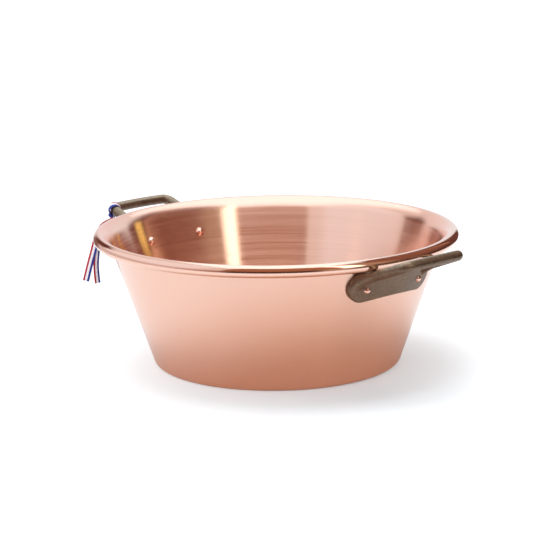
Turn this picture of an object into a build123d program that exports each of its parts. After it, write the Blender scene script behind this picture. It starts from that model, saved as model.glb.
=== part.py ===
from build123d import *
import math
import os

# A spun copper jam pan: a cone with a flat base and a rolled rim, and two cast iron
# grips riveted to it, one at each end of the X axis. A striped ribbon is tied to the
# left grip. The origin is the middle of the base's underside, and +Z is up.
# Sizes are in millimetres, and angles in degrees.

# The copper shell
rim_diameter = 380
pan_height = 141
base_diameter = 257  # where the line of the wall's outer face meets the table
sheet = 1.5
foot_bend = 7  # outer radius of the bend from base to wall
bead_radius = 6.1  # outer radius of the rolled edge
flare_radius = 20  # inner radius of the flare under the bead
flare_reach = 9.9  # from the wall's inner face out to the bead's centre
curl_gap = 0.4  # left where the roll comes back to the flare

# The cast grips
plate_length = 111
plate_height = 29
plate_arc_radius = 210  # of the plate's middle line, whose ends hang a little lower
plate_thickness = 6.2
plate_edge = 1.5
plate_drop = 29.5  # from the top of the rim down to the plate's middle
seat_gap = 0.15
rod_diameter = 10.6
grip_out = 33.3  # from the rim's edge out to the middle of the bar
grip_tilt = 20.6
grip_root_width = 87
grip_bar_width = 78
grip_bend = 8.5
grip_bow = 2
grip_bead_gap = 0.4
root_diameter = 21  # of the leg's flare, where its centreline starts inside the wall
root_length = 24

# The rivets
rivet_drop = 32.5  # from the top of the rim
rivet_spacing = 70.5
shank_diameter = 5.5
hole_gap = 0.1
inner_head_diameter = 10
inner_head_height = 3.4
outer_head_diameter = 7
outer_head_height = 2.4
head_gap = 0.05

# The ribbon. Each tail's route runs from inside the knot to its cut end.
ribbon_width = 7
ribbon_thickness = 0.6
wrap_gap = 0.15
wrap_start = 1.5  # from the end of the leg, round the elbow, to the wrap
knot_length = 8
knot_depth = 6
knot_edge = 2
knot_turn = 60  # how far below level the knot sits beside the rod
route_front = [
    (-221.2, -40.3, 128.5),
    (-223.8, -45.5, 125.1),
    (-226.9, -51.7, 117.7),
    (-228.6, -57.6, 106.9),
    (-228.5, -62.3, 93.4),
    (-230.2, -67.1, 77.9),
    (-232.0, -72.1, 59.3),
]
route_back = [
    (-221.8, -39.3, 127.5),
    (-225.4, -42.5, 123.3),
    (-229.8, -48.1, 114.1),
    (-232.2, -52.5, 101.3),
    (-232.8, -54.9, 87.4),
    (-233.6, -56.6, 70.9),
    (-231.8, -55.8, 54.2),
]
facing_front = (130.8, 86.8)  # azimuth of the width, from the red edge, at knot and end
facing_back = (126.8, 94.8)
band_sections = 13

plate_middle_height = pan_height - plate_drop
rivet_height = pan_height - rivet_drop

# The wall's lean follows from the foot, the bead and how far the bead stands out
rim_radius = rim_diameter / 2
rod_radius = rod_diameter / 2
foot = Vector(base_diameter / 2, 0)
bead_centre = Vector(rim_radius - bead_radius, pan_height - bead_radius)
foot_to_bead = bead_centre - foot
lean = math.degrees(
    math.atan2(foot_to_bead.X, foot_to_bead.Y)
    - math.asin((flare_reach - sheet) / foot_to_bead.length)
)
up_wall = Vector(0, 1).rotate(Axis.Z, -lean)
off_wall = Vector(1, 0).rotate(Axis.Z, -lean)


def at_wall(height, off=0):
    """In a radial section, the place that stands off the wall's outer face."""
    return foot + up_wall * (height / up_wall.Y) + off_wall * off


def upright(flat):
    """A place or direction of a radial section, set in the X Z plane."""
    return Vector(flat.X, 0, flat.Y)


def spin(edges):
    """The solid that a closed section sweeps round Z, its seam turned to -X."""
    return revolve(Plane.XZ * make_face(edges), Axis.Z).rotate(Axis.Z, 180)


def slab(low, high, inner, outer):
    """The cone between two heights whose faces stand off the wall by inner and outer."""
    corners = [at_wall(low, outer), at_wall(high, outer)]
    if inner is None:
        corners += [Vector(0, at_wall(high).Y), Vector(0, at_wall(low).Y)]
    else:
        corners += [at_wall(high, inner), at_wall(low, inner)]
    return spin(Polyline(*corners, close=True).edges())


def pan_section():
    """The sheet's section: base, foot bend, wall, flare and rolled bead, all tangent."""
    bend_rise = foot_bend * (math.tan(math.radians(lean)) - 1 / up_wall.Y)
    bend_centre = Vector(foot.X + bend_rise, foot_bend)
    flare_drop = math.sqrt(
        (flare_reach - bead_radius) * (2 * flare_radius - bead_radius - flare_reach)
    )
    flare_centre = (
        bead_centre - up_wall * flare_drop + off_wall * (flare_radius - flare_reach)
    )
    to_bead = bead_centre - flare_centre
    flare_start = 180 - lean
    bead_start = math.degrees(math.atan2(to_bead.Y, to_bead.X))
    flare_turn = bead_start - flare_start
    meeting_radius = flare_radius - sheet - curl_gap
    closing = math.acos(
        (meeting_radius**2 - bead_radius**2 - to_bead.length**2)
        / (2 * bead_radius * to_bead.length)
    )
    curl_turn = math.degrees(closing) - 360

    outer_bend = CenterArc(bend_centre, foot_bend, -90, 90 - lean)
    inner_bend = CenterArc(bend_centre, foot_bend - sheet, -90, 90 - lean)
    outer_flare = CenterArc(flare_centre, flare_radius - sheet, flare_start, flare_turn)
    inner_flare = CenterArc(flare_centre, flare_radius, flare_start, flare_turn)
    inner_curl = CenterArc(bead_centre, bead_radius - sheet, bead_start, curl_turn)
    outer_curl = CenterArc(bead_centre, bead_radius, bead_start, curl_turn)
    return [
        Line((0, 0), outer_bend @ 0),
        outer_bend,
        Line(outer_bend @ 1, outer_flare @ 0),
        outer_flare,
        inner_curl,
        Line(inner_curl @ 1, outer_curl @ 1),
        outer_curl,
        inner_flare,
        Line(inner_flare @ 0, inner_bend @ 1),
        inner_bend,
        Line(inner_bend @ 0, (0, sheet)),
        Line((0, sheet), (0, 0)),
    ]


def rivet_places():
    """On the wall's outer face at each rivet, with Z square to the wall."""
    place = at_wall(rivet_height)
    swing = math.degrees(math.asin(rivet_spacing / 2 / place.X))
    flat = Plane(upright(place), x_dir=(0, 1, 0), z_dir=upright(off_wall)).location
    azimuths = {
        "right_front": -swing,
        "right_back": swing,
        "left_front": 180 + swing,
        "left_back": 180 - swing,
    }
    return {name: Rotation(0, 0, turn) * flat for name, turn in azimuths.items()}


def rivet_hole(place):
    """The hole that a rivet's shank fills, through the wall and the plate."""
    return place * Cylinder(shank_diameter / 2 + hole_gap, plate_length / 2)


def pan_body():
    """The spun shell, with its four rivet holes."""
    shell = spin(pan_section())
    for place in rivet_places().values():
        shell -= rivet_hole(place)
    return shell


def saddle_plate():
    """A round-ended plate that hugs the cone, with its outer edge rounded over."""
    half_turn = math.degrees((plate_length - plate_height) / 2 / plate_arc_radius)
    arc_centre = (0, -plate_arc_radius)
    middle_line = CenterArc(arc_centre, plate_arc_radius, 90 - half_turn, 2 * half_turn)
    low = plate_middle_height - plate_height
    high = plate_middle_height + plate_height
    cone = slab(low, high, seat_gap, seat_gap + plate_thickness)
    middle = upright(at_wall(plate_middle_height))
    outline = Plane(middle, x_dir=(0, 1, 0), z_dir=upright(off_wall))
    blank = outline * SlotArc(middle_line, plate_height)
    plate = cone & extrude(blank, plate_length / 2, both=True)
    face = plate.faces().filter_by(GeomType.CONE).sort_by(Axis.X)[-1]
    return fillet(face.edges(), plate_edge)


def grip_path():
    """The rod's centreline: a leg, an elbow, a bowed bar, an elbow and a leg.

    It lies in a tilted plane that passes under the bead, with room for the rod.
    """
    slope = math.radians(grip_tilt)
    half_root = grip_root_width / 2
    half_bar = grip_bar_width / 2
    under_bead = math.sqrt(bead_centre.X**2 - half_root**2)
    drop = (bead_radius + rod_radius + grip_bead_gap) / math.cos(slope)
    origin = Vector(under_bead, 0, bead_centre.Y - drop)
    run = Vector(math.cos(slope), 0, math.sin(slope))
    tilted = Plane(origin, x_dir=run, z_dir=run.cross(Vector(0, 1, 0)))
    wall = at_wall(origin.Z - drop).X
    root = (math.sqrt(wall**2 - half_root**2) - under_bead) / math.cos(slope)
    bar = (rim_radius + grip_out - grip_bow - under_bead) / math.cos(slope)
    crown_turn = math.atan2(grip_bow, half_bar)
    crown_share = 0.9
    crown = crown_share * (half_bar - grip_bend) / math.tan(crown_turn)
    corners = [
        (root, -half_root),
        (bar, -half_bar),
        (bar + grip_bow, 0),
        (bar, half_bar),
        (root, half_root),
    ]
    return tilted * FilletPolyline(*corners, radius=[grip_bend, crown, grip_bend])


def leg(line):
    """The rod along a straight leg, flared where it grows out of the plate."""
    flare = TangentArc(
        (rod_radius, root_length), (root_diameter / 2, 0), tangent=(0, -1)
    )
    side = Polyline(
        flare @ 0, (rod_radius, line.length), (0, line.length), (0, 0), flare @ 1
    )
    turned = revolve(Plane.XZ * make_face([flare, *side.edges()]), Axis.Z)
    return Plane(line @ 0, z_dir=line % 0).location * turned


def casting():
    """The right grip: its saddle plate, its rod and its two rivet holes in one piece."""
    runs = grip_path().edges()
    bend = Wire(runs[1:-1])
    bar = sweep(Plane(bend @ 0, z_dir=bend % 0) * Circle(rod_radius), path=bend)
    near_leg = leg(runs[0])
    rod = near_leg + bar + near_leg.mirror(Plane.XZ)
    low = plate_middle_height - plate_height
    body = saddle_plate() + (rod - slab(low, pan_height, None, seat_gap))
    for name, place in rivet_places().items():
        if name.startswith("right"):
            body -= rivet_hole(place)
    return body


def rivet():
    """A rivet along Z, with Z = 0 on the wall's outer face and the domed head inside."""
    shank_radius = shank_diameter / 2
    inner_radius = inner_head_diameter / 2
    outer_radius = outer_head_diameter / 2
    hollow = inner_radius**2 / (2 * at_wall(rivet_height).X)
    inside = -sheet - hollow - head_gap
    outside = seat_gap + plate_thickness + head_gap
    inner_dome = TangentArc(
        (0, inside - inner_head_height), (inner_radius, inside), tangent=(1, 0)
    )
    outer_dome = TangentArc(
        (0, outside + outer_head_height), (outer_radius, outside), tangent=(1, 0)
    )
    shank = Polyline(
        inner_dome @ 1, (shank_radius, inside), (shank_radius, outside), outer_dome @ 1
    )
    section = [inner_dome, *shank.edges(), outer_dome, Line(outer_dome @ 0, inner_dome @ 0)]
    return revolve(Plane.XZ * make_face(section), Axis.Z)


def ribbon_knot():
    """The ribbon's wrap round the left grip's front elbow, and the knot below it."""
    elbow = grip_path().edges().filter_by(GeomType.CIRCLE).sort_by(Axis.Y)[-1]
    end = 1 - wrap_start / elbow.length
    band = elbow.trim(end - ribbon_width / elbow.length, end)
    inner = rod_radius + wrap_gap
    across = Plane(band @ 0, z_dir=band % 0)
    ring = across * (Circle(inner + ribbon_thickness) - Circle(inner))
    wrap = sweep(ring, path=band)
    along = band % 0.5
    level = along.cross(Vector(0, 0, 1)).normalized()
    turn = math.radians(knot_turn)
    aside = level * math.cos(turn) + along.cross(level) * math.sin(turn)
    seat = Plane(band @ 0.5, x_dir=aside, z_dir=along).location
    lump = Box(knot_depth, knot_length, ribbon_width)
    lump = fillet(lump.edges(), knot_edge)
    knot = wrap + seat * Pos(inner + knot_depth / 2, 0, 0) * lump
    return knot.rotate(Axis.Z, 180)


def cord_path(route):
    """Straight runs joined by arcs, each as large as the two runs beside it allow."""
    points = [Vector(place) for place in route]
    radii = []
    arc_share = 0.45
    for before, corner, after in zip(points, points[1:], points[2:]):
        first, second = corner - before, after - corner
        half_turn = math.radians(first.get_angle(second)) / 2
        shorter = min(first.length, second.length)
        radii.append(arc_share * shorter / math.tan(half_turn))
    print("radii", [round(radius) for radius in radii])
    return FilletPolyline(*points, radius=radii)


def ribbon_tail(route, facing, knot):
    """A flat band along a route, turning evenly from one facing to the other."""
    path = cord_path(route)
    sections = []
    for step in range(band_sections):
        share = step / (band_sections - 1)
        place, along = path @ share, path % share
        azimuth = facing[0] + (facing[1] - facing[0]) * share
        width = Vector(1, 0, 0).rotate(Axis.Z, azimuth)
        width -= along * width.dot(along)
        section = Plane(place, x_dir=width, z_dir=along)
        sections.append(section * Rectangle(ribbon_width, ribbon_thickness))
    band = loft(sections, ruled=True)
    plain = ribbon_width * ribbon_thickness * path.length
    print("tail", round(path.length, 1), "volume share", round(band.volume / plain, 3))
    return band - knot


def write(name, shape):
    """One file for each piece, named for it."""
    export_step(shape, f"parts/{name}.step")


os.makedirs("parts", exist_ok=True)
write("pan_body", pan_body())
grip = casting()
write("handle_right", grip)
write("handle_left", grip.rotate(Axis.Z, 180))
for name, place in rivet_places().items():
    write(f"rivet_{name}", place * rivet())
knot = ribbon_knot()
write("ribbon_knot", knot)
tail = ribbon_tail(route_front, facing_front, knot)
write("ribbon_tail_front", tail)
write("ribbon_tail_back", ribbon_tail(route_back, facing_back, knot) - tail)
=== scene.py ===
import math

import bpy
from mathutils import Matrix, Vector


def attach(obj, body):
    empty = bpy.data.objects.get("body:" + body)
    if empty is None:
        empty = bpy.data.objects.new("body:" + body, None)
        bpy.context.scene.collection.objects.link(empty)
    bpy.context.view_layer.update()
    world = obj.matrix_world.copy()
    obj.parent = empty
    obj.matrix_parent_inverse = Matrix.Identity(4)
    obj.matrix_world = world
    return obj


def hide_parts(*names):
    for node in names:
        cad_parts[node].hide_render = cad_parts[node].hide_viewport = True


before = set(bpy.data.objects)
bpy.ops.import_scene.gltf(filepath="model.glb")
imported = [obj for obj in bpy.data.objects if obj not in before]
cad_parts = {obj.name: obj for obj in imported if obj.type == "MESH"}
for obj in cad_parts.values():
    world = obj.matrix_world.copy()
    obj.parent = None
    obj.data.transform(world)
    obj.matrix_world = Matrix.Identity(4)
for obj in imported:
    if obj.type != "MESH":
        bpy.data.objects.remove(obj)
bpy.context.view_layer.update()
MM = 0.001


# The pan is one disc of copper, 1.5 mm thick, spun into a cone and rolled outwards
# over its rim. It was brushed as it turned on the lathe, so fine lines run round it,
# and the rolled edge was polished.
rim_radius = 190
pan_height = 141
foot_radius = 128.5
sheet = 1.5
foot_bend = 7
bead_radius = 6.1
flare_radius = 20
flare_reach = 9.9
curl_gap = 0.4
pan_segments = 256
bend_steps, flare_steps, bead_steps = 8, 12, 44
base_rings = (2, 20, 45, 70, 95, 115)
wall_shares = (0.02, 0.1, 0.25, 0.4, 0.55, 0.7, 0.85, 0.98, 1)

foot = Vector((foot_radius, 0))
bead_centre = Vector((rim_radius - bead_radius, pan_height - bead_radius))
foot_to_bead = bead_centre - foot
lean = math.atan2(foot_to_bead.x, foot_to_bead.y) - math.asin(
    (flare_reach - sheet) / foot_to_bead.length
)
up_wall = Vector((math.sin(lean), math.cos(lean)))
off_wall = Vector((math.cos(lean), -math.sin(lean)))


def at_wall(height, off=0):
    """In a radial section, the place that stands off the wall's outer face."""
    return foot + up_wall * (height / up_wall.y) + off_wall * off


def arc(centre, radius, start, turn, steps):
    """Places along an arc of a radial section, its first one left out."""
    angles = [start + turn * (step + 1) / steps for step in range(steps)]
    return [centre + radius * Vector((math.cos(a), math.sin(a))) for a in angles]


def cooking_face():
    """The section of the pan's inner face, from the middle to the rolled edge's end."""
    bend_shift = foot_bend * (math.tan(lean) - 1 / up_wall.y)
    bend_centre = Vector((foot.x + bend_shift, foot_bend))
    flare_drop = math.sqrt(
        (flare_reach - bead_radius) * (2 * flare_radius - bead_radius - flare_reach)
    )
    flare_centre = bead_centre - up_wall * flare_drop
    flare_centre += off_wall * (flare_radius - flare_reach)
    to_bead = bead_centre - flare_centre
    flare_start = math.pi - lean
    bead_start = math.atan2(to_bead.y, to_bead.x)
    meeting = flare_radius - sheet - curl_gap
    closing = math.acos(
        (meeting**2 - bead_radius**2 - to_bead.length**2)
        / (2 * bead_radius * to_bead.length)
    )
    places = [Vector((radius, sheet)) for radius in base_rings]
    places.append(Vector((bend_centre.x, sheet)))
    places += arc(
        bend_centre, foot_bend - sheet, -math.pi / 2, math.pi / 2 - lean, bend_steps
    )
    wall_start = places[-1]
    wall_end = flare_centre + flare_radius * Vector(
        (math.cos(flare_start), math.sin(flare_start))
    )
    places += [wall_start.lerp(wall_end, share) for share in wall_shares]
    places += arc(
        flare_centre, flare_radius, flare_start, bead_start - flare_start, flare_steps
    )
    places += arc(
        bead_centre, bead_radius, bead_start, closing - 2 * math.pi, bead_steps
    )
    return places


def start_piece():
    """Nothing selected, and Blender out of edit mode."""
    if bpy.context.object and bpy.context.object.mode == "EDIT":
        bpy.ops.object.mode_set(mode="OBJECT")
    bpy.ops.object.select_all(action="DESELECT")


def turned_shell(name, section, segments):
    """A round shell drawn out of a small circle, one ring for each place of a section."""
    start_piece()
    radius, height = section[0] * MM
    bpy.ops.mesh.primitive_circle_add(
        vertices=segments, radius=radius, fill_type="NGON", location=(0, 0, height)
    )
    piece = bpy.context.object
    piece.name = piece.data.name = name
    bpy.ops.object.transform_apply(location=True, rotation=False, scale=False)
    bpy.ops.object.mode_set(mode="EDIT")
    bpy.ops.mesh.select_all(action="SELECT")
    bpy.ops.mesh.delete(type="ONLY_FACE")
    bpy.ops.mesh.select_all(action="SELECT")
    for place in section[1:]:
        next_radius, next_height = place * MM
        growth = next_radius / radius
        bpy.ops.mesh.extrude_edges_move()
        bpy.ops.transform.translate(value=(0, 0, next_height - height))
        bpy.ops.transform.resize(
            value=(growth, growth, 1), center_override=(0, 0, next_height)
        )
        radius, height = next_radius, next_height
    return piece


def close_end(piece, radius, height):
    """Fills the ring of that radius and height, with a point in its middle."""
    hair = 0.01 * MM
    bpy.ops.object.mode_set(mode="OBJECT")
    for vertex in piece.data.vertices:
        place = vertex.co
        far = abs(place.xy.length - radius * MM) + abs(place.z - height * MM)
        vertex.select = far < hair
    for edge in piece.data.edges:
        edge.select = all(piece.data.vertices[v].select for v in edge.vertices)
    for face in piece.data.polygons:
        face.select = False
    bpy.ops.object.mode_set(mode="EDIT")
    bpy.ops.mesh.select_mode(type="EDGE")
    bpy.ops.mesh.extrude_edges_move()
    bpy.ops.mesh.merge(type="CENTER")
    bpy.ops.mesh.select_mode(type="VERT")


def face_outwards():
    """Merges the active piece's doubles and turns every face outwards."""
    if bpy.context.object.mode != "EDIT":
        bpy.ops.object.mode_set(mode="EDIT")
    bpy.ops.mesh.select_all(action="SELECT")
    bpy.ops.mesh.remove_doubles(threshold=0.002 * MM)
    bpy.ops.mesh.normals_make_consistent(inside=False)
    bpy.ops.object.mode_set(mode="OBJECT")


def apply_modifier(piece, kind, **settings):
    """Adds a modifier, sets it and applies it."""
    start_piece()
    bpy.context.view_layer.objects.active = piece
    piece.select_set(True)
    modifier = piece.modifiers.new(kind.lower(), kind)
    for key, value in settings.items():
        setattr(modifier, key, value)
    bpy.ops.object.modifier_apply(modifier=modifier.name)


# The inner face is drawn first, and the sheet's thickness is laid on outside it.
section = cooking_face()
pan = turned_shell("pan_body_copper", section, pan_segments)
close_end(pan, section[0].x, section[0].y)
face_outwards()
lowest_face = min(pan.data.polygons, key=lambda face: face.center.xy.length)
if lowest_face.normal.z < 0:
    pan.data.flip_normals()
apply_modifier(
    pan, "SOLIDIFY", thickness=sheet * MM, offset=-1, use_even_offset=True
)
bpy.ops.object.shade_smooth_by_angle(angle=math.radians(40))


def paint(hex_colour):
    """An sRGB hex value as the linear colour that the shaders take."""
    channels = [int(hex_colour[i : i + 2], 16) / 255 for i in (1, 3, 5)]
    linear = [
        c / 12.92 if c < 0.04045 else ((c + 0.055) / 1.055) ** 2.4 for c in channels
    ]
    return (*linear, 1)


def add_node(tree, kind, settings=None, links=None):
    """Adds a node, sets its properties and sockets, and links other sockets to it."""
    node = tree.nodes.new(kind)
    for key, value in (settings or {}).items():
        if isinstance(key, str) and hasattr(node, key):
            setattr(node, key, value)
        else:
            node.inputs[key].default_value = value
    for key, socket in (links or {}).items():
        tree.links.new(socket, node.inputs[key])
    return node


def new_material(name):
    """A material with an empty tree."""
    material = bpy.data.materials.new(name)
    material.use_nodes = True
    material.node_tree.nodes.clear()
    return material, material.node_tree


# Spun copper, bare: light pink and warm, with fine lines round the axis that stretch
# each reflection up and down the wall. The real lines are too fine for the picture, so
# they are drawn 3 mm wide, and fainter on the outer face.
line_width = 3 * MM
line_turns = 0.4
outer_line_depth = 0.3
wall_rough = (0.15, 0.24)
lip_rough = 0.09
lip_from, lip_to = 181 * MM, 184 * MM
stains_per_metre = 9.0


def brushed_copper():
    material, tree = new_material("spun_brushed_copper")
    place = add_node(tree, "ShaderNodeTexCoord")
    axes = add_node(tree, "ShaderNodeSeparateXYZ", {}, {0: place.outputs["Object"]})
    across = add_node(
        tree, "ShaderNodeCombineXYZ", {}, {0: axes.outputs["X"], 1: axes.outputs["Y"]}
    )
    radius = add_node(
        tree, "ShaderNodeVectorMath", {"operation": "LENGTH"}, {0: across.outputs[0]}
    )
    around = add_node(
        tree, "ShaderNodeVectorMath", {"operation": "NORMALIZE"}, {0: across.outputs[0]}
    )
    up = add_node(
        tree,
        "ShaderNodeMath",
        {"operation": "ADD"},
        {0: radius.outputs["Value"], 1: axes.outputs["Z"]},
    )
    drawn = add_node(
        tree,
        "ShaderNodeVectorMath",
        {"operation": "SCALE", "Scale": line_turns},
        {0: around.outputs["Vector"]},
    )
    step = add_node(
        tree,
        "ShaderNodeMath",
        {"operation": "DIVIDE", 1: line_width},
        {0: up.outputs["Value"]},
    )
    turned = add_node(tree, "ShaderNodeSeparateXYZ", {}, {0: drawn.outputs["Vector"]})
    grooves = add_node(
        tree,
        "ShaderNodeCombineXYZ",
        {},
        {0: turned.outputs["X"], 1: turned.outputs["Y"], 2: step.outputs["Value"]},
    )
    lines = add_node(
        tree,
        "ShaderNodeTexNoise",
        {"Scale": 1.0, "Detail": 4.0, "Roughness": 0.7},
        {"Vector": grooves.outputs[0]},
    )
    stain = add_node(
        tree,
        "ShaderNodeTexNoise",
        {"Scale": stains_per_metre, "Detail": 2.0, "Roughness": 0.5},
        {"Vector": place.outputs["Object"]},
    )
    off_wall_line = add_node(
        tree,
        "ShaderNodeMath",
        {"operation": "MULTIPLY_ADD", 1: -math.tan(lean)},
        {0: axes.outputs["Z"], 2: radius.outputs["Value"]},
    )
    line_depth = add_node(
        tree,
        "ShaderNodeMapRange",
        {
            "From Min": (foot_radius - sheet) * MM,
            "From Max": foot_radius * MM,
            "To Min": 1.0,
            "To Max": outer_line_depth,
        },
        {0: off_wall_line.outputs[0]},
    )
    drawn_lines = add_node(
        tree,
        "ShaderNodeMix",
        {"data_type": "FLOAT", 2: 0.5},
        {0: line_depth.outputs["Result"], 3: lines.outputs["Fac"]},
    )
    bare = add_node(
        tree,
        "ShaderNodeMix",
        {"data_type": "RGBA", 6: paint("#e9bba8"), 7: paint("#fbd6c5")},
        {0: drawn_lines.outputs[0]},
    )
    warm = add_node(
        tree,
        "ShaderNodeMix",
        {"data_type": "RGBA", "blend_type": "MULTIPLY", 7: paint("#fffaf6")},
        {0: stain.outputs["Fac"], 6: bare.outputs[2]},
    )
    polish = add_node(
        tree,
        "ShaderNodeMapRange",
        {"From Min": lip_from, "From Max": lip_to},
        {0: radius.outputs["Value"]},
    )
    rough_line = add_node(
        tree,
        "ShaderNodeMapRange",
        {
            "From Min": 0.3,
            "From Max": 0.7,
            "To Min": wall_rough[0],
            "To Max": wall_rough[1],
        },
        {0: drawn_lines.outputs[0]},
    )
    rough = add_node(
        tree,
        "ShaderNodeMix",
        {"data_type": "FLOAT", 3: lip_rough},
        {0: polish.outputs["Result"], 2: rough_line.outputs["Result"]},
    )
    bump = add_node(
        tree,
        "ShaderNodeBump",
        {"Strength": 0.2, "Distance": 0.02 * MM},
        {"Height": drawn_lines.outputs[0]},
    )
    round_axis = add_node(
        tree, "ShaderNodeTangent", {"direction_type": "RADIAL", "axis": "Z"}
    )
    shader = add_node(
        tree,
        "ShaderNodeBsdfPrincipled",
        {"Metallic": 1.0, "Anisotropic": 1.0, "Anisotropic Rotation": 0.25},
        {
            "Base Color": warm.outputs[2],
            "Roughness": rough.outputs[0],
            "Normal": bump.outputs["Normal"],
            "Tangent": round_axis.outputs["Tangent"],
        },
    )
    add_node(tree, "ShaderNodeOutputMaterial", {}, {0: shader.outputs[0]})
    return material


pan.data.materials.append(brushed_copper())
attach(pan, "root")
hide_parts("pan_body")


# Each grip is cast in iron in one piece: a curved plate that hugs the cone and a round
# rod that leaves its upper edge, passes under the rolled edge and bows outwards.
plate_length = 111
plate_height = 29
plate_arc_radius = 210
plate_thickness = 6.2
plate_edge = 1.5
plate_middle_height = 111.5
seat_gap = 0.15
rod_radius = 5.3
grip_out = 33.3
grip_tilt = math.radians(20.6)
grip_root_half = 43.5
grip_bar_half = 39
grip_bend = 8.5
grip_bow = 2
grip_bead_gap = 0.4
root_radius = 10.5
root_length = 24
rod_sides = 48
crown_steps, bend_turns, leg_steps, root_steps = 8, 24, 8, 14
crown_share = 0.9
plate_ends, plate_cuts = 64, 40
cast_grain = 0.7


def off_cone(place):
    """How far a place stands off the line of the wall's outer face, in millimetres."""
    flat = Vector((place.xy.length, place.z))
    return (flat - foot).dot(off_wall)


def grip_bar():
    """The rod lying flat: half of it is extruded and spun from mid bar to its root, in
    the plane of the rod's centreline, then mirrored and tilted into place."""
    under_bead = math.sqrt(bead_centre.x**2 - grip_root_half**2)
    drop = (bead_radius + rod_radius + grip_bead_gap) / math.cos(grip_tilt)
    origin = Vector((under_bead, 0, bead_centre.y - drop))
    wall = at_wall(origin.z - drop).x
    root_x = (math.sqrt(wall**2 - grip_root_half**2) - under_bead) / math.cos(grip_tilt)
    bar_x = (rim_radius + grip_out - grip_bow - under_bead) / math.cos(grip_tilt)
    crown_half = math.atan2(grip_bow, grip_bar_half)
    crown_radius = crown_share * (grip_bar_half - grip_bend) / math.tan(crown_half)
    crown_x = bar_x + grip_bow - crown_radius * (1 / math.cos(crown_half) - 1)
    leg_angle = math.atan2(grip_root_half - grip_bar_half, bar_x - root_x)
    bend_angle = math.pi / 2 - crown_half - leg_angle
    bend_reach = grip_bend * math.tan(bend_angle / 2)
    crown_reach = crown_radius * math.tan(crown_half)
    along_bar = Vector((-math.sin(crown_half), -math.cos(crown_half), 0))
    along_leg = Vector((-math.cos(leg_angle), -math.sin(leg_angle), 0))
    corner = Vector((bar_x, -grip_bar_half, 0))
    straight = Vector((grip_bow, grip_bar_half, 0)).length - crown_reach - bend_reach
    bend_start = corner - along_bar * bend_reach
    inwards = Vector((-along_bar.y, along_bar.x, 0)) * -1
    bend_centre = bend_start + inwards * grip_bend
    leg_length = (Vector((root_x, -grip_root_half, 0)) - corner).length - bend_reach

    start_piece()
    bpy.ops.mesh.primitive_circle_add(
        vertices=rod_sides,
        radius=rod_radius * MM,
        location=(crown_x * MM, 0, 0),
        rotation=(math.pi / 2, 0, 0),
    )
    rod = bpy.context.object
    bpy.ops.object.transform_apply(location=True, rotation=True, scale=True)
    bpy.ops.object.mode_set(mode="EDIT")
    bpy.ops.mesh.select_all(action="SELECT")
    bpy.ops.mesh.spin(
        steps=crown_steps,
        angle=crown_half,
        center=((crown_x - crown_radius) * MM, 0, 0),
        axis=(0, 0, 1),
    )
    bpy.ops.mesh.extrude_edges_move(
        TRANSFORM_OT_translate={"value": along_bar * straight * MM}
    )
    bpy.ops.mesh.spin(
        steps=bend_turns, angle=bend_angle, center=bend_centre * MM, axis=(0, 0, 1)
    )
    plain = leg_length - root_length
    for step in range(leg_steps):
        bpy.ops.mesh.extrude_edges_move(
            TRANSFORM_OT_translate={"value": along_leg * plain / leg_steps * MM}
        )
    swell_radius = (root_length**2 + (root_radius - rod_radius) ** 2) / (
        2 * (root_radius - rod_radius)
    )
    done, radius = 0, rod_radius
    for step in range(1, root_steps + 1):
        reach = root_length * step / root_steps
        grown = rod_radius + swell_radius - math.sqrt(swell_radius**2 - reach**2)
        bpy.ops.mesh.extrude_edges_move(
            TRANSFORM_OT_translate={"value": along_leg * (reach - done) * MM}
        )
        bpy.ops.transform.resize(value=(grown / radius,) * 3)
        done, radius = reach, grown
    bpy.ops.mesh.edge_face_add()
    face_outwards()
    apply_modifier(rod, "MIRROR", use_axis=(False, True, False), use_clip=True)
    rod.data.transform(
        Matrix.Translation(origin * MM) @ Matrix.Rotation(-grip_tilt, 4, "Y")
    )
    return rod


def seat_on_cone(piece, middle_height, clearance):
    """Bends a flat blank along its middle line's arc and onto the cone. The blank lies
    along Y with its face to Z, and its X runs down the wall."""
    middle = at_wall(middle_height)
    for vertex in piece.data.vertices:
        turn = vertex.co.y / MM / plate_arc_radius
        reach = plate_arc_radius - vertex.co.x / MM
        down = plate_arc_radius - reach * math.cos(turn)
        side, proud = reach * math.sin(turn), vertex.co.z / MM
        start = middle - up_wall * down
        place = Vector((start.x, side, start.y))
        want = proud + clearance
        for attempt in range(4):
            short = want - off_cone(place)
            place += Vector((off_wall.x, 0, off_wall.y)) * short
        vertex.co = place * MM


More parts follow.
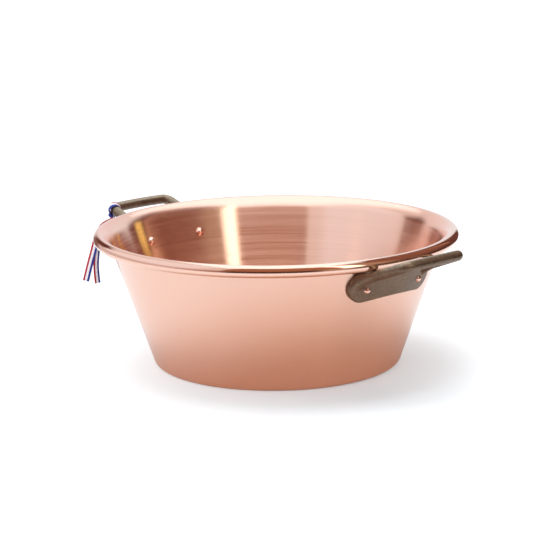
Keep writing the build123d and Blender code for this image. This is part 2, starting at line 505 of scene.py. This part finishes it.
def saddle_plate():
    """A round-ended blank, extruded, with its face's edge rounded over, and cut across
    into strips so that it can bend round the cone."""
    start_piece()
    half_height = plate_height / 2
    bpy.ops.mesh.primitive_circle_add(
        vertices=plate_ends, radius=half_height * MM, fill_type="NGON"
    )
    plate = bpy.context.object
    slide = plate_length / 2 - half_height
    for side in (1, -1):
        for vertex in plate.data.vertices:
            if vertex.co.y * side > 1e-6:
                vertex.co.y += side * slide * MM
    bpy.ops.object.mode_set(mode="EDIT")
    bpy.ops.mesh.select_all(action="SELECT")
    bpy.ops.mesh.extrude_region_move(
        TRANSFORM_OT_translate={"value": (0, 0, plate_thickness * MM)}
    )
    face_outwards()
    bpy.ops.object.mode_set(mode="EDIT")
    bpy.ops.mesh.select_all(action="DESELECT")
    bpy.ops.object.mode_set(mode="OBJECT")
    for edge in plate.data.edges:
        ends = [plate.data.vertices[v].co for v in edge.vertices]
        edge.select = all(end.z > 0.9 * plate_thickness * MM for end in ends)
    bpy.ops.object.mode_set(mode="EDIT")
    bpy.ops.mesh.select_mode(type="EDGE")
    bpy.ops.mesh.bevel(offset=plate_edge * MM, segments=5, affect="EDGES")
    for step in range(1, plate_cuts):
        cut = (step / plate_cuts - 0.5) * plate_length * MM
        bpy.ops.mesh.select_all(action="SELECT")
        bpy.ops.mesh.bisect(plane_co=(0, cut, 0), plane_no=(0, 1, 0))
    bpy.ops.object.mode_set(mode="OBJECT")
    seat_on_cone(plate, plate_middle_height, seat_gap)
    return plate


def cast_together(plate, rod):
    """The rod's end is trimmed to the wall and both are joined into one casting, whose
    seams are rounded as in a sand mould."""
    for vertex in rod.data.vertices:
        place = vertex.co / MM
        short = seat_gap - off_cone(place)
        if short > 0:
            out = Vector((place.x, place.y, 0)).normalized() * off_wall.x
            vertex.co = (place + (out + Vector((0, 0, off_wall.y))) * short) * MM
    start_piece()
    rod.select_set(True)
    plate.select_set(True)
    bpy.context.view_layer.objects.active = plate
    bpy.ops.object.join()
    apply_modifier(plate, "REMESH", mode="VOXEL", voxel_size=cast_grain * MM)
    apply_modifier(plate, "SMOOTH", factor=0.5, iterations=5)
    bpy.ops.object.shade_smooth()
    return plate


# Grey cast iron under a thin bronze-brown finish: satin and speckled with the mould's
# grain, 1.8 mm across, and clouded every 14 mm. Its upper side is painted lighter and
# greyer, a painted highlight of the light that falls from above.
grain_size = 1.8 * MM
cloud_size = 14 * MM
iron_rough = (0.28, 0.42)


def bronzed_iron():
    material, tree = new_material("bronzed_cast_iron")
    place = add_node(tree, "ShaderNodeTexCoord")
    grain = add_node(
        tree,
        "ShaderNodeTexNoise",
        {"Scale": 1 / grain_size, "Detail": 3.0, "Roughness": 0.6},
        {"Vector": place.outputs["Object"]},
    )
    cloud = add_node(
        tree,
        "ShaderNodeTexNoise",
        {"Scale": 1 / cloud_size, "Detail": 3.0, "Roughness": 0.55},
        {"Vector": place.outputs["Object"]},
    )
    brown = add_node(
        tree,
        "ShaderNodeMix",
        {"data_type": "RGBA", 6: paint("#665040"), 7: paint("#8f7661")},
        {0: cloud.outputs["Fac"]},
    )
    # Faces that point up are painted lighter and greyer: a painted highlight of the light
    # from above.
    facing = add_node(tree, "ShaderNodeSeparateXYZ", {}, {0: place.outputs["Normal"]})
    painted_top_light_mask = add_node(
        tree,
        "ShaderNodeMapRange",
        {"From Min": 0.2, "From Max": 0.8},
        {0: facing.outputs["Z"]},
    )
    painted_top_light = add_node(
        tree,
        "ShaderNodeMix",
        {"data_type": "RGBA", 7: paint("#9d8c76")},
        {0: painted_top_light_mask.outputs["Result"], 6: brown.outputs[2]},
    )
    speckle = add_node(
        tree,
        "ShaderNodeMapRange",
        {"From Min": 0.35, "From Max": 0.6, "To Min": 0.65, "To Max": 1.0},
        {0: grain.outputs["Fac"]},
    )
    grainy = add_node(
        tree,
        "ShaderNodeMix",
        {"data_type": "RGBA", "blend_type": "MULTIPLY", 0: 1.0},
        {6: painted_top_light.outputs[2], 7: speckle.outputs["Result"]},
    )
    rough = add_node(
        tree,
        "ShaderNodeMapRange",
        {
            "From Min": 0.3,
            "From Max": 0.7,
            "To Min": iron_rough[0],
            "To Max": iron_rough[1],
        },
        {0: cloud.outputs["Fac"]},
    )
    bump = add_node(
        tree,
        "ShaderNodeBump",
        {"Strength": 0.5, "Distance": 0.15 * MM},
        {"Height": grain.outputs["Fac"]},
    )
    shader = add_node(
        tree,
        "ShaderNodeBsdfPrincipled",
        {"Metallic": 0.75},
        {
            "Base Color": grainy.outputs[2],
            "Roughness": rough.outputs["Result"],
            "Normal": bump.outputs["Normal"],
        },
    )
    add_node(tree, "ShaderNodeOutputMaterial", {}, {0: shader.outputs[0]})
    return material


iron = bronzed_iron()
right_grip = cast_together(saddle_plate(), grip_bar())
right_grip.name = right_grip.data.name = "grip_right"
left_grip = right_grip.copy()
left_grip.data = right_grip.data.copy()
left_grip.name = left_grip.data.name = "grip_left"
bpy.context.collection.objects.link(left_grip)
left_grip.data.transform(Matrix.Rotation(math.pi, 4, "Z"))
for grip, node in ((right_grip, "handle_right"), (left_grip, "handle_left")):
    grip.data.materials.clear()
    grip.data.materials.append(iron)
    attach(grip, "root")
    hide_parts(node)


# Four solid copper rivets hold the grips. Each has a polished domed head inside the
# pan, and a smaller one hammered over on the plate.
rivet_height = 108.5
rivet_spacing = 70.5
shank_radius = 2.75
inner_head = (5, 3.4)
outer_head = (3.5, 2.4)
head_gap = 0.05
rivet_sides = 48


def dome(radius, height, base, steps=9):
    """The section of a rounded head, from its rim to its top."""
    ball = (radius**2 + height**2) / (2 * height)
    widest = math.asin(radius / ball)
    places = []
    for step in range(steps):
        turn = widest * (1 - step / steps)
        rise = ball * math.cos(turn) - (ball - height)
        places.append(Vector((ball * math.sin(turn), base + rise)))
    return places


def rivet_blank():
    """A rivet along Z, with Z = 0 on the wall's outer face."""
    hollow = inner_head[0] ** 2 / (2 * at_wall(rivet_height).x)
    inside = sheet + hollow + head_gap
    outside = seat_gap + plate_thickness + head_gap
    inner = [Vector((p.x, -p.y)) for p in dome(*inner_head, inside)]
    outer = dome(*outer_head, outside)
    shank = [Vector((shank_radius, -inside)), Vector((shank_radius, outside))]
    rivet = turned_shell("rivet", inner[::-1] + shank + outer, rivet_sides)
    close_end(rivet, inner[-1].x, inner[-1].y)
    close_end(rivet, outer[-1].x, outer[-1].y)
    face_outwards()
    bpy.ops.object.shade_smooth_by_angle(angle=math.radians(50))
    return rivet


# Polished copper, a little redder than the pan, with the hammer's marks, 3 mm across,
# which break its highlights.
mark_size = 3 * MM


def rivet_copper():
    material, tree = new_material("polished_rivet_copper")
    place = add_node(tree, "ShaderNodeTexCoord")
    marks = add_node(
        tree,
        "ShaderNodeTexNoise",
        {"Scale": 1 / mark_size, "Detail": 2.0},
        {"Vector": place.outputs["Object"]},
    )
    tone = add_node(
        tree,
        "ShaderNodeMix",
        {"data_type": "RGBA", 6: paint("#f0bda8"), 7: paint("#fad2c2")},
        {0: marks.outputs["Fac"]},
    )
    rough = add_node(
        tree,
        "ShaderNodeMapRange",
        {"To Min": 0.10, "To Max": 0.22},
        {0: marks.outputs["Fac"]},
    )
    bump = add_node(
        tree,
        "ShaderNodeBump",
        {"Strength": 0.3, "Distance": 0.15 * MM},
        {"Height": marks.outputs["Fac"]},
    )
    shader = add_node(
        tree,
        "ShaderNodeBsdfPrincipled",
        {"Metallic": 1.0},
        {
            "Base Color": tone.outputs[2],
            "Roughness": rough.outputs["Result"],
            "Normal": bump.outputs["Normal"],
        },
    )
    add_node(tree, "ShaderNodeOutputMaterial", {}, {0: shader.outputs[0]})
    return material


blank = rivet_blank()
blank.data.materials.append(rivet_copper())
rivet_place = at_wall(rivet_height)
swing = math.asin(rivet_spacing / 2 / rivet_place.x)
azimuths = {
    "right_front": -swing,
    "right_back": swing,
    "left_front": math.pi + swing,
    "left_back": math.pi - swing,
}
for name, azimuth in azimuths.items():
    rivet = blank.copy()
    rivet.data = blank.data.copy()
    rivet.name = rivet.data.name = f"rivet_copper_{name}"
    bpy.context.collection.objects.link(rivet)
    rivet.data.transform(
        Matrix.Rotation(azimuth, 4, "Z")
        @ Matrix.Translation((rivet_place.x * MM, 0, rivet_place.y * MM))
        @ Matrix.Rotation(math.pi / 2 + lean, 4, "Y")
    )
    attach(rivet, "root")
    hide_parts(f"rivet_{name}")
bpy.data.objects.remove(blank)


# The ribbon is woven with a red, a white and a blue stripe along it. It is wrapped once
# round the left grip's front elbow and knotted below it, and its two ends hang free,
# cut straight across.
ribbon_width = 7
ribbon_thickness = 0.35
# Each tail hangs along a smooth line that these places steer.
route_front = [
    (-221.2, -40.3, 128.5),
    (-223.8, -45.5, 125.1),
    (-226.9, -51.7, 117.7),
    (-228.6, -57.6, 106.9),
    (-228.5, -62.3, 93.4),
    (-230.2, -67.1, 77.9),
    (-232.0, -72.1, 59.3),
]
route_back = [
    (-221.8, -39.3, 127.5),
    (-225.4, -42.5, 123.3),
    (-229.8, -48.1, 114.1),
    (-232.2, -52.5, 101.3),
    (-232.8, -54.9, 87.4),
    (-233.6, -56.6, 70.9),
    (-231.8, -55.8, 54.2),
]
# A tail leaves the knot gathered and facing one way, then opens and turns to another.
facing_front = (130.8, 50)
facing_back = (126.8, 80)
facing_share = 0.35
gathered_share, opening_rate = 0.45, 4
open_bow, gathered_bow = 0.35, 1.1
wrap_middle = Vector((-218.58, -37.77, 137.29))
rod_run = Vector((0.741, -0.611, -0.279)).normalized()
loop_normal = Vector((math.sin(grip_tilt), 0, math.cos(grip_tilt)))
wrap_radius = 5.7
wrap_slack = 2.3
slack_turn = math.radians(-40)
knot_middle = Vector((-222.84, -39.73, 130.26))
knot_axis = Vector((-0.504, -0.232, -0.832)).normalized()


def route_points(name, route):
    """Points along the smooth line that the route's points steer, in metres."""
    line = bpy.data.curves.new(name, "CURVE")
    line.dimensions = "3D"
    line.resolution_u = 10
    spline = line.splines.new("NURBS")
    spline.points.add(len(route) - 1)
    for point, place in zip(spline.points, route):
        point.co = (*(Vector(place) * MM), 1)
    spline.order_u = 3
    spline.use_endpoint_u = True
    holder = bpy.data.objects.new(name, line)
    bpy.context.collection.objects.link(holder)
    drawn = bpy.data.meshes.new_from_object(holder)
    points = [vertex.co.copy() for vertex in drawn.vertices]
    bpy.data.objects.remove(holder)
    bpy.data.meshes.remove(drawn)
    bpy.data.curves.remove(line)
    return points


def woven_strip(name, rows, seen=(0, 1)):
    """A strip through rows of places, with its own UV map: U across the part of the
    ribbon that is seen, and V along in widths of the ribbon."""
    columns = len(rows[0])
    corners, coords, faces, run = [], [], [], 0
    for number, row in enumerate(rows):
        if number:
            run += (row[columns // 2] - rows[number - 1][columns // 2]).length
        corners += [place * MM for place in row]
        for column in range(columns):
            side = seen[0] + (seen[1] - seen[0]) * column / (columns - 1)
            coords.append((side, run / ribbon_width))
    for number in range(len(rows) - 1):
        for column in range(columns - 1):
            first = number * columns + column
            faces.append((first, first + 1, first + columns + 1, first + columns))
    mesh = bpy.data.meshes.new(name)
    mesh.from_pydata(corners, [], faces)
    layer = mesh.uv_layers.new(name="woven")
    for loop in mesh.loops:
        layer.data[loop.index].uv = coords[loop.vertex_index]
    strip = bpy.data.objects.new(name, mesh)
    bpy.context.collection.objects.link(strip)
    return strip


def row_across(place, across, out, width, bow, columns=8):
    """Places across a strip, bowed outwards in the middle."""
    row = []
    for column in range(columns + 1):
        side = 2 * column / columns - 1
        row.append(place + across * (side * width / 2) + out * (bow * (1 - side**2)))
    return row


def hanging_rows(points, facing):
    """A tail's rows: it leaves the knot gathered and narrow, and opens to its width."""
    rows = []
    for number, point in enumerate(points):
        share = number / (len(points) - 1)
        before = points[max(number - 1, 0)]
        after = points[min(number + 1, len(points) - 1)]
        along = (after - before).normalized()
        turned = min(1, share / facing_share)
        azimuth = math.radians(facing[0] + (facing[1] - facing[0]) * turned)
        wide = Vector((math.cos(azimuth), math.sin(azimuth), 0))
        across = (wide - along * wide.dot(along)).normalized()
        opened = min(1, gathered_share + opening_rate * share)
        bow = open_bow + gathered_bow * (1 - opened)
        rows.append(
            row_across(point / MM, across, along.cross(across), ribbon_width * opened, bow)
        )
    return rows


def wrap_rows(steps=72, columns=10):
    """One turn round the bent rod, so that the band fans out on the elbow's outside and
    hangs a little loose below it."""
    inwards = loop_normal.cross(rod_run)
    centre = wrap_middle + inwards * grip_bend
    rows = []
    for step in range(steps + 1):
        turn = 2 * math.pi * step / steps
        radius = wrap_radius + wrap_slack * (1 + math.cos(turn - slack_turn)) / 2
        row = []
        for column in range(columns + 1):
            swing = (column / columns - 0.5) * ribbon_width / grip_bend
            out = rod_run * math.sin(swing) - inwards * math.cos(swing)
            round_rod = out * math.cos(turn) + loop_normal * math.sin(turn)
            row.append(centre + out * grip_bend + round_rod * radius)
        rows.append(row)
    return rows


def fold_rows(axis, half_long, half_short, width, bow, steps=48):
    """A closed fold of the knot, gathered round the given axis."""
    first = (rod_run - axis * rod_run.dot(axis)).normalized()
    second = axis.cross(first)
    rows = []
    for step in range(steps + 1):
        turn = 2 * math.pi * step / steps
        out = first * math.cos(turn) * half_long + second * math.sin(turn) * half_short
        rows.append(row_across(knot_middle + out, axis, out.normalized(), width, bow))
    return rows


def finish_strip(strip):
    """Gives the cloth its thickness, half to each side, and its finish."""
    apply_modifier(strip, "SOLIDIFY", thickness=ribbon_thickness * MM, offset=0)
    bpy.ops.object.shade_smooth_by_angle(angle=math.radians(40))
    strip.data.materials.append(ribbon_cloth)
    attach(strip, "root")


# Woven polyester ribbon, soft and slightly shiny, with a thread every 0.35 mm, drawn
# twice as coarse so that it shows.
thread_shown = 0.7
white_from, blue_from = 0.3, 0.64


def striped_ribbon():
    material, tree = new_material("woven_polyester_ribbon")
    place = add_node(tree, "ShaderNodeUVMap", {"uv_map": "woven"})
    axes = add_node(tree, "ShaderNodeSeparateXYZ", {}, {0: place.outputs["UV"]})
    stripes = add_node(tree, "ShaderNodeValToRGB", {}, {0: axes.outputs["X"]})
    ramp = stripes.color_ramp
    ramp.interpolation = "CONSTANT"
    ramp.elements[0].position, ramp.elements[0].color = 0, paint("#b4122a")
    ramp.elements[1].position, ramp.elements[1].color = white_from, paint("#f8f8ff")
    ramp.elements.new(blue_from).color = paint("#1b2b8a")
    threads = ribbon_width / thread_shown
    waves = []
    for axis in ("X", "Y"):
        turn = add_node(
            tree,
            "ShaderNodeMath",
            {"operation": "MULTIPLY", 1: 2 * math.pi * threads},
            {0: axes.outputs[axis]},
        )
        wave = add_node(tree, "ShaderNodeMath", {"operation": "SINE"}, {0: turn.outputs[0]})
        waves.append(wave.outputs[0])
    weave = add_node(
        tree, "ShaderNodeMath", {"operation": "MULTIPLY"}, dict(enumerate(waves))
    )
    bump = add_node(
        tree, "ShaderNodeBump", {"Strength": 0.3, "Distance": 0.06 * MM},
        {"Height": weave.outputs[0]},
    )
    shader = add_node(
        tree,
        "ShaderNodeBsdfPrincipled",
        {"Roughness": 0.55, "Sheen Weight": 0.25, "Sheen Roughness": 0.4},
        {"Base Color": stripes.outputs["Color"], "Normal": bump.outputs["Normal"]},
    )
    add_node(tree, "ShaderNodeOutputMaterial", {}, {0: shader.outputs[0]})
    return material


ribbon_cloth = striped_ribbon()
wrap = woven_strip("ribbon_wrap", wrap_rows())
# Two folds cross in the knot. Each shows only the white and blue part of the ribbon.
knot_side = knot_axis.cross(rod_run)
slanted = (knot_axis + knot_side * 1.6 + rod_run * 0.5).normalized()
folds = [
    woven_strip("ribbon_fold", fold_rows(knot_axis, 2.5, 3.1, 4.6, 0.6), (0.55, 1)),
    woven_strip("ribbon_fold", fold_rows(slanted, 2.9, 3.3, 3.6, 0.5), (0.5, 1)),
]
start_piece()
for strip in (wrap, *folds):
    strip.select_set(True)
bpy.context.view_layer.objects.active = wrap
bpy.ops.object.join()
wrap.name = wrap.data.name = "ribbon_wrap_and_knot"
finish_strip(wrap)
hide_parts("ribbon_knot")
for end, route, facing in (
    ("front", route_front, facing_front),
    ("back", route_back, facing_back),
):
    points = route_points(f"ribbon_line_{end}", route)
    tail = woven_strip(f"ribbon_end_{end}", hanging_rows(points, facing))
    finish_strip(tail)
    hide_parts(f"ribbon_tail_{end}")


# The floor is plain white paper that keeps the pan's shadow. To the camera it also glows
# a little, so that the background stays white, and least where the shadow is deepest,
# which paints the shadow darker there. In the metal the paper round the foot is painted
# warm, a painted bounce light where copper and paper light each other.
floor_size = 40
deepest_shadow = (178 * MM, -30 * MM, 0)
clear_reach = 300 * MM
least_glow, most_glow = 0.12, 0.39
mirrored_glow = 0.05
glow_strength = 1.5
warm_middle = (64 * MM, -20 * MM, 0)
warm_within, warm_until = 105 * MM, 230 * MM

start_piece()
bpy.ops.mesh.primitive_plane_add(size=floor_size)
floor = bpy.context.object
floor.name = "floor_paper"
paper, tree = new_material("matt_white_paper")
ray = add_node(tree, "ShaderNodeLightPath")
place = add_node(tree, "ShaderNodeTexCoord")
from_shadow = add_node(
    tree,
    "ShaderNodeVectorMath",
    {"operation": "DISTANCE", 1: deepest_shadow},
    {0: place.outputs["Object"]},
)
# The glow fades towards the deepest shadow, which paints that shadow darker.
painted_shadow_glow = add_node(
    tree,
    "ShaderNodeMapRange",
    {"From Min": 0, "From Max": clear_reach, "To Min": least_glow, "To Max": most_glow},
    {0: from_shadow.outputs["Value"]},
)
camera_share = add_node(
    tree,
    "ShaderNodeMath",
    {"operation": "MULTIPLY"},
    {0: painted_shadow_glow.outputs["Result"], 1: ray.outputs["Is Camera Ray"]},
)
glossy_share = add_node(
    tree,
    "ShaderNodeMath",
    {"operation": "MULTIPLY", 1: mirrored_glow},
    {0: ray.outputs["Is Glossy Ray"]},
)
glow_share = add_node(
    tree,
    "ShaderNodeMath",
    {"operation": "ADD"},
    {0: camera_share.outputs[0], 1: glossy_share.outputs[0]},
)
from_warmth = add_node(
    tree,
    "ShaderNodeVectorMath",
    {"operation": "DISTANCE", 1: warm_middle},
    {0: place.outputs["Object"]},
)
near_foot = add_node(
    tree,
    "ShaderNodeMapRange",
    {"From Min": warm_until, "From Max": warm_within},
    {0: from_warmth.outputs["Value"]},
)
# Painted bounce light: mirror rays alone see the paper warm round the foot.
painted_bounce_warmth = add_node(
    tree,
    "ShaderNodeMath",
    {"operation": "MULTIPLY"},
    {0: near_foot.outputs["Result"], 1: ray.outputs["Is Glossy Ray"]},
)
paper_tone = add_node(
    tree,
    "ShaderNodeMix",
    {"data_type": "RGBA", 6: paint("#f3f9fe"), 7: paint("#efcbb3")},
    {0: painted_bounce_warmth.outputs[0]},
)
matt = add_node(tree, "ShaderNodeBsdfDiffuse", {}, {"Color": paper_tone.outputs[2]})
glow = add_node(tree, "ShaderNodeEmission", {"Strength": glow_strength})
both = add_node(
    tree,
    "ShaderNodeMixShader",
    {},
    {0: glow_share.outputs[0], 1: matt.outputs[0], 2: glow.outputs[0]},
)
add_node(tree, "ShaderNodeOutputMaterial", {}, {0: both.outputs[0]})
floor.data.materials.append(paper)


# The camera stands where the photograph was taken from: a little above the rim, with
# the right grip on the near side and the left one behind. Its lens and shift are those
# of a picture 560 pixels wide and high.
camera_azimuth = math.radians(46.8)
camera_elevation = math.radians(13.3)
camera_roll = math.radians(-0.8)
camera_distance = 2.1156
camera_target = Vector((0, 0, 0.07))
picture_size = 560
focal_pixels = 2015.3
lens_centre = (276.76, 293.74)

toward = Vector(
    (
        math.cos(camera_elevation) * math.sin(camera_azimuth),
        -math.cos(camera_elevation) * math.cos(camera_azimuth),
        math.sin(camera_elevation),
    )
)
camera_data = bpy.data.cameras.new("camera")
camera = bpy.data.objects.new("camera", camera_data)
bpy.context.collection.objects.link(camera)
camera.location = camera_target + toward * camera_distance
aim = (-toward).to_track_quat("-Z", "Y").to_matrix() @ Matrix.Rotation(
    camera_roll, 3, "Z"
)
camera.rotation_euler = aim.to_euler()
camera_data.sensor_width = 36
camera_data.lens = focal_pixels / picture_size * camera_data.sensor_width
camera_data.shift_x = (picture_size / 2 - lens_centre[0]) / picture_size
camera_data.shift_y = (lens_centre[1] - picture_size / 2) / picture_size
bpy.context.scene.camera = camera


# The studio, as the metal mirrors it: a round tent with bright cloth and dark gaps, a
# lit panel overhead and two cards. Only mirror rays see these, so that cloth, paper and
# other matt things get even white light instead.
tent_radius = 0.6
tent_height = 1.2
white, cool, pale = (0.93, 1.0, 1.06), (1.0, 1.06, 1.15), (0.86, 0.82, 0.8)
shell, rosy, blush = (0.93, 0.88, 0.92), (0.74, 0.67, 0.68), (0.58, 0.42, 0.38)
opening, corner, fawn = (0.40, 0.19, 0.105), (0.46, 0.32, 0.22), (0.39, 0.24, 0.2)
tan, walnut, brown = (0.72, 0.42, 0.27), (0.26, 0.12, 0.08), (0.15, 0.055, 0.045)
dusk, umber, dark = (0.26, 0.15, 0.12), (0.11, 0.055, 0.043), (0.07, 0.032, 0.024)
strip, gold, glint = (2.5, 2.6, 2.3), (1.45, 1.2, 0.33), (0.48, 0.37, 0.3)

# Each ring goes once round the tent. Its stops are at degrees from the camera's side,
# growing to the picture's right. The low ring shows mostly in the rolled edge, and the
# high one mostly inside the pan. The top one has no gap behind the pan's left.
behind_right = [(143, brown), (147, white), (165, white), (180, shell)]
low_ring = [
    *((-180, shell), (-147, shell), (-141, dusk), (-130, dusk)),
    *((-124, rosy), (-60, rosy), (-41, blush), (-31, fawn)),
    *((-22, dark), (19, dark), (27, glint), (34, glint)),
    *((44, umber), (116, umber)),
    *behind_right,
]
high_ring = [
    *((-180, shell), (-154, shell), (-144, brown), (-122, brown)),
    *((-120.5, pale), (-116, cool), (-48, cool), (-37, pale), (-30, pale)),
    *((-27, opening), (34, opening), (36.5, strip), (46, strip)),
    *((49, corner), (61, corner), (73, walnut), (116, walnut)),
    *((118, brown), (121, tan), (123, tan), (125, brown)),
    *behind_right,
]
top_ring = [high_ring[0], *high_ring[4:]]
high_ring_rise, top_ring_rise = (0.18, 0.28), (0.39, 0.45)


def round_the_camera(tree, socket):
    """A direction's azimuth from the camera's, as a share of a turn, and its height."""
    turn = add_node(
        tree,
        "ShaderNodeMapping",
        {"vector_type": "POINT", "Rotation": (0, 0, math.pi / 2 - camera_azimuth)},
        {"Vector": socket},
    )
    axes = add_node(tree, "ShaderNodeSeparateXYZ", {}, {0: turn.outputs[0]})
    azimuth = add_node(
        tree,
        "ShaderNodeMath",
        {"operation": "ARCTAN2"},
        {0: axes.outputs["Y"], 1: axes.outputs["X"]},
    )
    share = add_node(
        tree,
        "ShaderNodeMapRange",
        {"From Min": -math.pi, "From Max": math.pi},
        {0: azimuth.outputs[0]},
    )
    return share.outputs["Result"], axes.outputs["Z"]


def ring_of_light(tree, share, stops):
    """A ramp of colours round the studio, each stop at its azimuth in degrees."""
    ring = add_node(tree, "ShaderNodeValToRGB", {}, {0: share})
    ramp = ring.color_ramp
    ramp.interpolation = "LINEAR"
    while len(ramp.elements) > 1:
        ramp.elements.remove(ramp.elements[0])
    for index, (angle, colour) in enumerate(stops):
        spot = (angle + 180) / 360
        element = ramp.elements[0] if index == 0 else ramp.elements.new(spot)
        element.position = spot
        element.color = (*colour, 1)
    return ring.outputs["Color"]


def light_up(piece, name, colour):
    """Gives a thing of the studio an even glow."""
    material, tree = new_material(name)
    glow = add_node(tree, "ShaderNodeEmission", {"Color": (*colour, 1)})
    add_node(tree, "ShaderNodeOutputMaterial", {}, {0: glow.outputs[0]})
    piece.data.materials.append(material)


def mirror_only(piece):
    """Leaves a thing of the studio to mirror rays alone."""
    piece.visible_camera = piece.visible_diffuse = piece.visible_shadow = False


start_piece()
bpy.ops.mesh.primitive_cylinder_add(
    vertices=128, radius=tent_radius, depth=tent_height, end_fill_type="NOTHING"
)
tent = bpy.context.object
tent.name = "tent_wall"
tent.data.transform(Matrix.Translation((0, 0, tent_height / 2)))
tent_cloth, tree = new_material("tent_cloth")
place = add_node(tree, "ShaderNodeTexCoord")
share, height = round_the_camera(tree, place.outputs["Object"])
rings = ring_of_light(tree, share, low_ring)
for (start, end), stops in ((high_ring_rise, high_ring), (top_ring_rise, top_ring)):
    raised = add_node(
        tree, "ShaderNodeMapRange", {"From Min": start, "From Max": end}, {0: height}
    )
    mixed = add_node(
        tree,
        "ShaderNodeMix",
        {"data_type": "RGBA"},
        {0: raised.outputs["Result"], 6: rings, 7: ring_of_light(tree, share, stops)},
    )
    rings = mixed.outputs[2]
glow = add_node(tree, "ShaderNodeEmission", {}, {"Color": rings})
add_node(tree, "ShaderNodeOutputMaterial", {}, {0: glow.outputs[0]})
tent.data.materials.append(tent_cloth)
mirror_only(tent)

# The panel makes the light that lies along the rolled edge and the flare.
panel_height, panel_front, panel_depth, panel_width = 0.53, 0.32, 0.9, 0.4
start_piece()
bpy.ops.mesh.primitive_plane_add(size=1)
panel = bpy.context.object
panel.name = "lit_panel"
panel.data.transform(
    Matrix.Rotation(camera_azimuth, 4, "Z")
    @ Matrix.Translation((0, panel_depth / 2 - panel_front, panel_height))
    @ Matrix.Diagonal((panel_width, panel_depth, 1, 1))
)
light_up(panel, "lit_panel_cloth", (1.6, 1.7, 1.8))
mirror_only(panel)

# The gold card makes the stripe inside the pan. The brown one keeps it off the rim.
for name, colour, turn, radius, width, low, high in (
    ("gold_card", gold, 131, 0.59, 0.085, 0.2, 0.33),
    ("brown_card", brown, 113, 0.312, 0.09, 0.141, 0.22),
):
    start_piece()
    bpy.ops.mesh.primitive_plane_add(size=1)
    card = bpy.context.object
    card.name = name
    card.data.transform(
        Matrix.Rotation(camera_azimuth - math.pi / 2 + math.radians(turn), 4, "Z")
        @ Matrix.Translation((radius, 0, (low + high) / 2))
        @ Matrix.Rotation(math.pi / 2, 4, "Y")
        @ Matrix.Diagonal((high - low, width, 1, 1))
    )
    light_up(card, name + "_paper", colour)
    mirror_only(card)

# Matt things see a sky that is brighter overhead, metal sees white over the tent's top,
# and the camera sees a white background.
sky_low, sky_high = 0.2, 1.0
world = bpy.data.worlds.new("studio")
bpy.context.scene.world = world
world.use_nodes = True
tree = world.node_tree
tree.nodes.clear()
direction = add_node(tree, "ShaderNodeTexCoord")
axes = add_node(tree, "ShaderNodeSeparateXYZ", {}, {0: direction.outputs["Generated"]})
overhead = add_node(
    tree,
    "ShaderNodeMapRange",
    {"From Min": 0, "From Max": 1, "To Min": sky_low, "To Max": sky_high},
    {0: axes.outputs["Z"]},
)
ray = add_node(tree, "ShaderNodeLightPath")
mirrored = add_node(
    tree,
    "ShaderNodeMix",
    {"data_type": "RGBA", 7: (*white, 1)},
    {0: ray.outputs["Is Glossy Ray"], 6: overhead.outputs["Result"]},
)
backdrop = add_node(
    tree,
    "ShaderNodeMix",
    {"data_type": "RGBA", 7: (1, 1, 1, 1)},
    {0: ray.outputs["Is Camera Ray"], 6: mirrored.outputs[2]},
)
light = add_node(tree, "ShaderNodeBackground", {}, {"Color": backdrop.outputs[2]})
add_node(tree, "ShaderNodeOutputWorld", {}, {0: light.outputs[0]})


# Two soft lamps, which don't show in the metal. One stands almost overhead, a little
# behind the pan's left, so that the shadow lies close round the foot and to the front
# right. The other is weaker, low and in front, and lights the grip and the ribbon.
for name, energy, spread, turn, height in (
    ("soft_lamp", 1.3, 34, -140, 5),
    ("front_lamp", 0.8, 60, -25, 0.4),
):
    lamp_data = bpy.data.lights.new(name, "SUN")
    lamp_data.energy = energy
    lamp_data.angle = math.radians(spread)
    lamp = bpy.data.objects.new(name, lamp_data)
    bpy.context.collection.objects.link(lamp)
    lamp_azimuth = camera_azimuth + math.radians(turn)
    lamp_from = Vector((math.sin(lamp_azimuth), -math.cos(lamp_azimuth), height))
    lamp.rotation_euler = (-lamp_from).to_track_quat("-Z", "Y").to_euler()
    lamp.visible_glossy = False

bpy.context.scene.view_settings.view_transform = "Standard"
